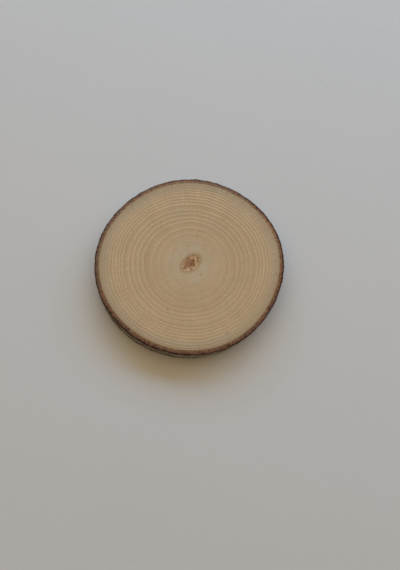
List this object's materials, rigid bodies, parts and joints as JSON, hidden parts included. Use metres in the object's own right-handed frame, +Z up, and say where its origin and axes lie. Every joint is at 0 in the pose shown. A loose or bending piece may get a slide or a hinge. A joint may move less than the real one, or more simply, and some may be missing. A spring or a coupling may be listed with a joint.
{
  "type": "wood slice",
  "caption": "Round slice of a tree stem with sanded faces, fine growth rings, a small brown pith and thin bark left on the rim.",
  "frame": {"origin": "middle of the slice's box, on the surface that its lower face rests on", "axes": "+Z up out of the upper sanded face, through the thickness; +X along the slice's widest way across; +Y across it"},
  "size_m": [0.0914, 0.0888, 0.01],
  "materials": {
    "wood": "matte",
    "bark": "matte"
  },
  "bodies": {
    "root": {"wood_slice": "wood"}
  },
  "joints": []
}
